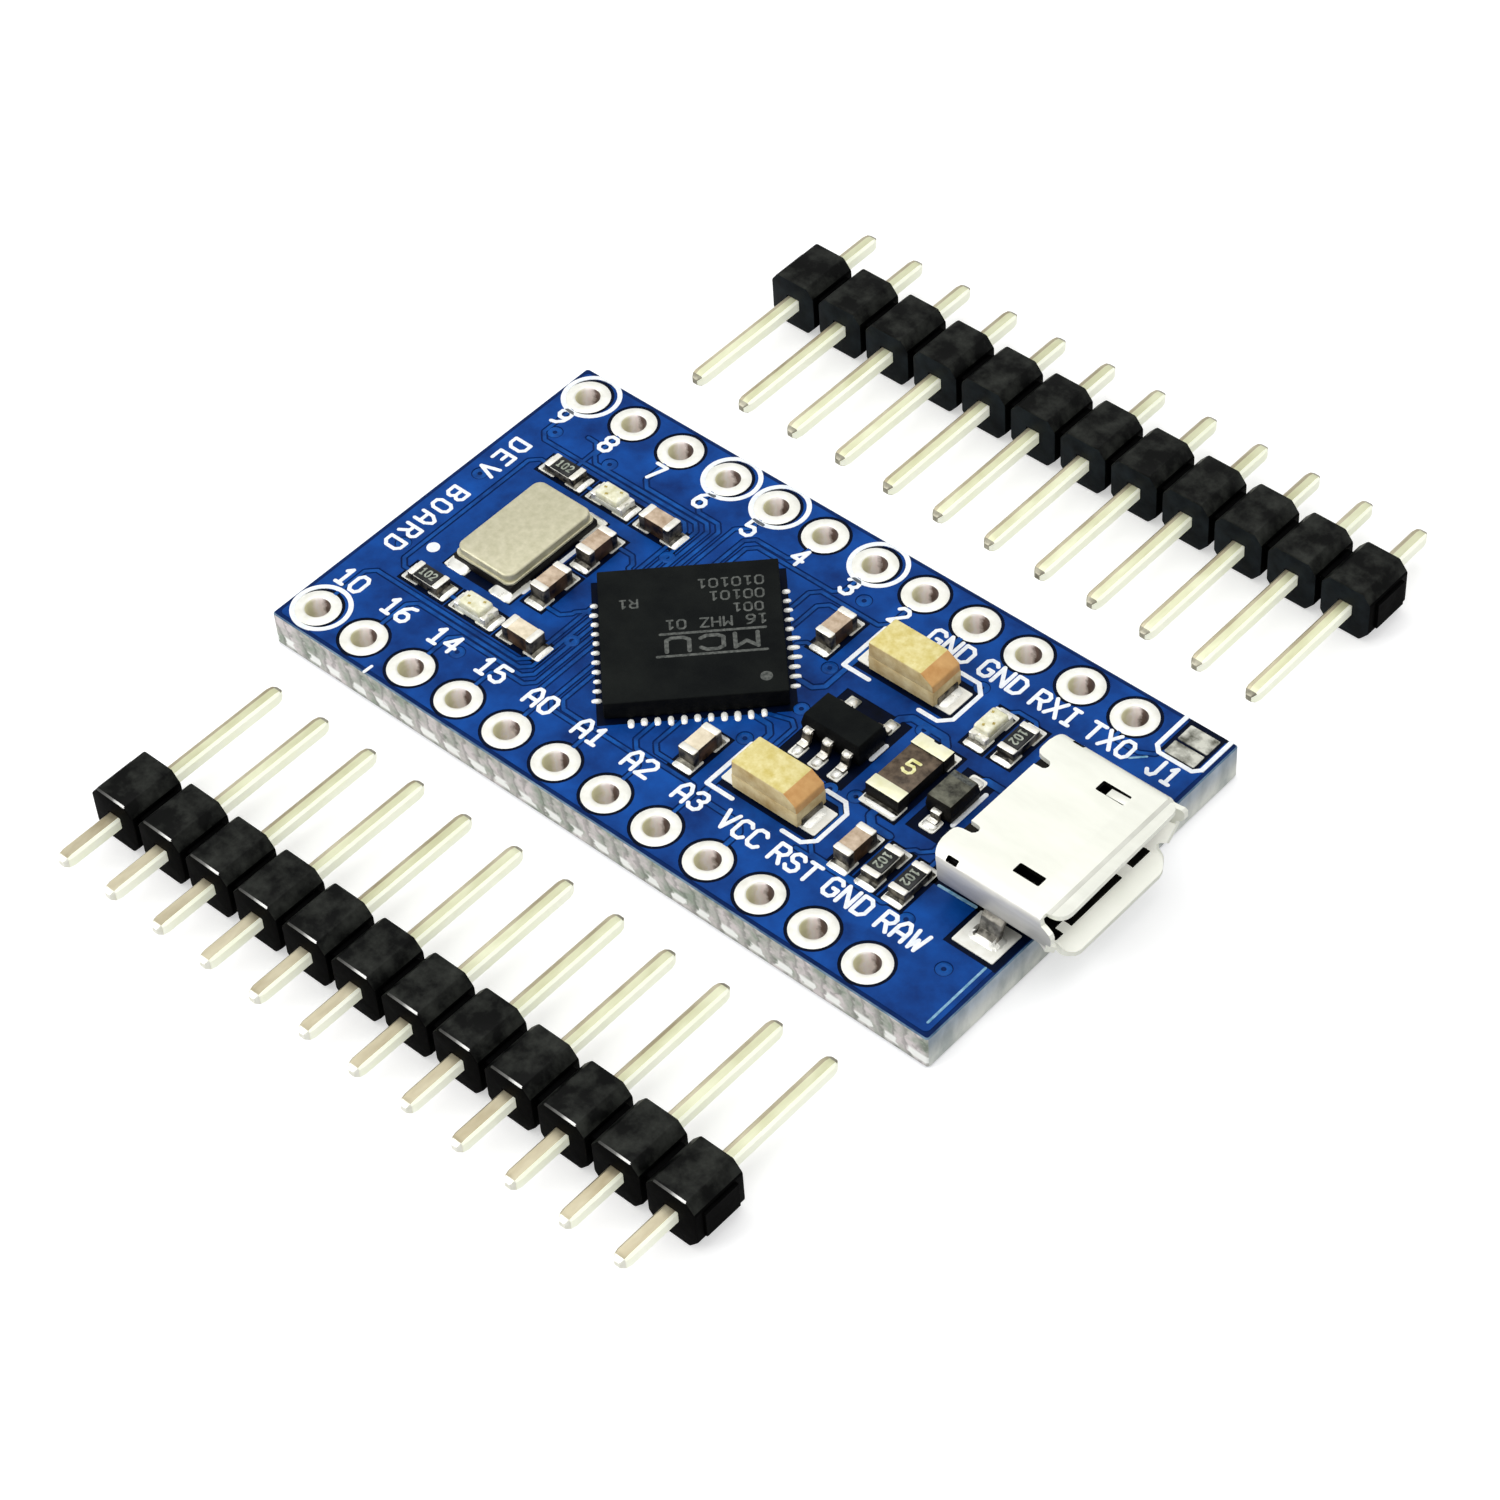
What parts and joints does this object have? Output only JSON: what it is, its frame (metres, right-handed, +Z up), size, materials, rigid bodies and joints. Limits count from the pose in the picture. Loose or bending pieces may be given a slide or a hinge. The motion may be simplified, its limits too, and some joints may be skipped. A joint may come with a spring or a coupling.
{
  "type": "microcontroller development board",
  "caption": "Small blue microcontroller dev board with a micro-USB receptacle, plated pin rows and surface-mount parts, with its two loose header strips beside it.",
  "frame": {"origin": "centre of the circuit board outline, on its underside, which is also the table plane", "axes": "+X towards the USB receptacle, +Y towards the pad row that ends in the serial transmit pad, +Z up out of the component side"},
  "size_m": [0.0345, 0.045, 0.0041],
  "materials": {
    "solder_mask": "satin blue solder mask over fibreglass board",
    "board_edge": "bare routed fibreglass",
    "pad_plating": "bright tin-plated copper",
    "solder": "bright solder",
    "silk_print": "matt white print",
    "shell_steel": "bright tinned sheet steel",
    "contact_gold": "gold-plated",
    "insulator_plastic": "moulded black plastic",
    "black_epoxy": "matt moulded epoxy",
    "thermal_pad": "tinned copper",
    "dark_ceramic": "fired dark ceramic",
    "crystal_metal": "satin pale gold metal lid",
    "cap_cream": "fired cream ceramic with tinned ends",
    "cap_brown": "fired brown ceramic with tinned ends",
    "resistor_film": "black glazed film with tinned ends",
    "led_clear": "clear lens on a white base",
    "tantalum_epoxy": "moulded yellow epoxy",
    "fuse_body": "dark coated body with plated ends",
    "header_plastic": "moulded black plastic",
    "pin_plating": "pale gold flash plating"
  },
  "bodies": {
    "board": {"pcb": "solder_mask", "usb_shell": "shell_steel", "usb_insulator": "insulator_plastic", "mcu_package": "black_epoxy", "mcu_die_pad": "thermal_pad", "crystal_base": "dark_ceramic", "crystal_lid": "crystal_metal", "crystal_cap_a": "cap_cream", "crystal_cap_b": "cap_cream", "tx_resistor": "resistor_film", "tx_led": "led_clear", "tx_cap": "cap_brown", "rx_resistor": "resistor_film", "rx_led": "led_clear", "rx_cap": "cap_cream", "mcu_cap_a": "cap_brown", "mcu_cap_b": "cap_cream", "tantalum_cap_in": "tantalum_epoxy", "tantalum_cap_out": "tantalum_epoxy", "regulator": "black_epoxy", "fuse": "fuse_body", "diode": "black_epoxy", "power_led": "led_clear", "power_resistor": "resistor_film", "usb_cap": "cap_brown", "usb_resistor_a": "resistor_film", "usb_resistor_b": "resistor_film", "usb_contact_1": "contact_gold", "usb_contact_2": "contact_gold", "usb_contact_3": "contact_gold", "usb_contact_4": "contact_gold", "usb_contact_5": "contact_gold"},
    "front_header": {"front_header_housing": "header_plastic", "front_pin_01": "pin_plating", "front_pin_02": "pin_plating", "front_pin_03": "pin_plating", "front_pin_04": "pin_plating", "front_pin_05": "pin_plating", "front_pin_06": "pin_plating", "front_pin_07": "pin_plating", "front_pin_08": "pin_plating", "front_pin_09": "pin_plating", "front_pin_10": "pin_plating", "front_pin_11": "pin_plating", "front_pin_12": "pin_plating"},
    "back_header": {"back_header_housing": "header_plastic", "back_pin_01": "pin_plating", "back_pin_02": "pin_plating", "back_pin_03": "pin_plating", "back_pin_04": "pin_plating", "back_pin_05": "pin_plating", "back_pin_06": "pin_plating", "back_pin_07": "pin_plating", "back_pin_08": "pin_plating", "back_pin_09": "pin_plating", "back_pin_10": "pin_plating", "back_pin_11": "pin_plating", "back_pin_12": "pin_plating"}
  },
  "joints": [
    {"name": "front_strip_slide", "type": "slide", "parent": "board", "child": "front_header", "axis": [0, -1, 0], "range_m": [-0.002, 0.02]},
    {"name": "back_strip_slide", "type": "slide", "parent": "board", "child": "back_header", "axis": [0, 1, 0], "range_m": [-0.002, 0.02]}
  ]
}
